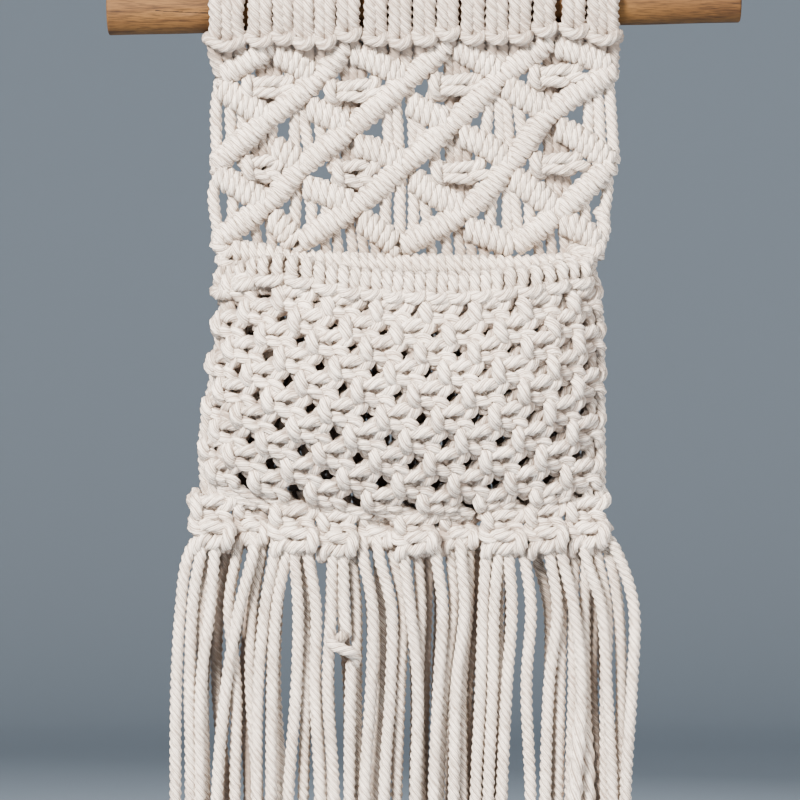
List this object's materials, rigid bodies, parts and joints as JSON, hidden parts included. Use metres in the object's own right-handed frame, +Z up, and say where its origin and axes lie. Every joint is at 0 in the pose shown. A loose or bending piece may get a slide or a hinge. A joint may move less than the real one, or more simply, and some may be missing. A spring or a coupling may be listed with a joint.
{
  "type": "macrame wall hanging with pocket on a wooden rod",
  "caption": "Macrame wall hanging of cotton cord on a wooden rod, with a web of knotted diamonds, a pocket of open net across it and a long fringe below.",
  "frame": {"origin": "middle of the rod's axis, where the hanging is held up", "axes": "+X to the viewer's right along the rod, +Y back towards the wall, +Z up"},
  "size_m": [0.2654, 0.0518, 0.4487],
  "materials": {
    "wood": "smooth bare stick, sawn ends",
    "cotton": "matt off-white twisted cotton cord"
  },
  "bodies": {
    "root": {"rod": "wood", "heading": "cotton", "web": "cotton", "back_cords": "cotton", "pocket_rim": "cotton", "pocket": "cotton", "fringe": "cotton"}
  },
  "joints": []
}
